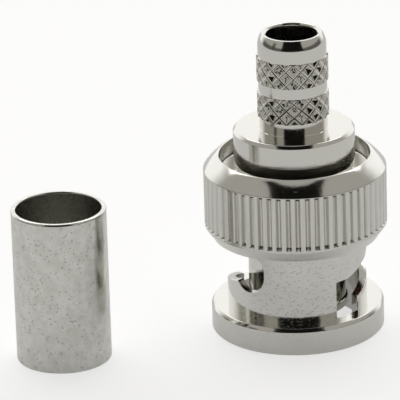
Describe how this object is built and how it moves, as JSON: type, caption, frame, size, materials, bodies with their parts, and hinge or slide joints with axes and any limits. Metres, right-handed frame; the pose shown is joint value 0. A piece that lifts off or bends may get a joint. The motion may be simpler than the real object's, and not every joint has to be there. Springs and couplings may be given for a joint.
{
  "type": "bayonet coaxial crimp plug with crimp ferrule",
  "caption": "Bayonet-coupling coaxial cable plug with knurled nut, spiral slots and knurled crimp stem, with its loose crimp ferrule.",
  "frame": {"origin": "on the connector's axis, in the plane of the coupling nut's front face, on which the part stands", "axes": "+Z along the connector's axis towards the cable end; +X to the right as seen from the front, -Y; the loose ferrule stands towards -X"},
  "size_m": [0.0297, 0.0161, 0.0247],
  "materials": {
    "nickel_nut": "bright nickel plate over machined brass",
    "nickel_body": "bright nickel plate, turned and knurled",
    "nickel_ferrule": "tumbled nickel plate with fine scratches",
    "ptfe": "turned white fluoropolymer",
    "gold_contact": "thin gold plate",
    "silicone": "soft silicone rubber",
    "spring_metal": "spring metal strip"
  },
  "bodies": {
    "nut": {"coupling_nut": "nickel_nut", "crimp_ferrule": "nickel_ferrule"},
    "washer": {"thrust_washer": "spring_metal"},
    "plug": {"front_body": "nickel_body", "rear_body": "nickel_body", "front_insulator": "ptfe", "rear_insulator": "ptfe", "centre_pin": "gold_contact", "gasket": "silicone", "wave_washer_front": "spring_metal", "wave_washer_rear": "spring_metal"}
  },
  "joints": [
    {"name": "nut_turn", "type": "hinge", "parent": "nut", "child": "washer", "pos_m": [0, 0, 0.0124], "axis": [0, 0, 1], "continuous": true},
    {"name": "plug_slide", "type": "slide", "parent": "washer", "child": "plug", "axis": [0, 0, 1], "range_m": [0, 0.0006], "stiffness_N_per_m": 15000, "deforming": ["wave_washer_front", "wave_washer_rear"]}
  ]
}
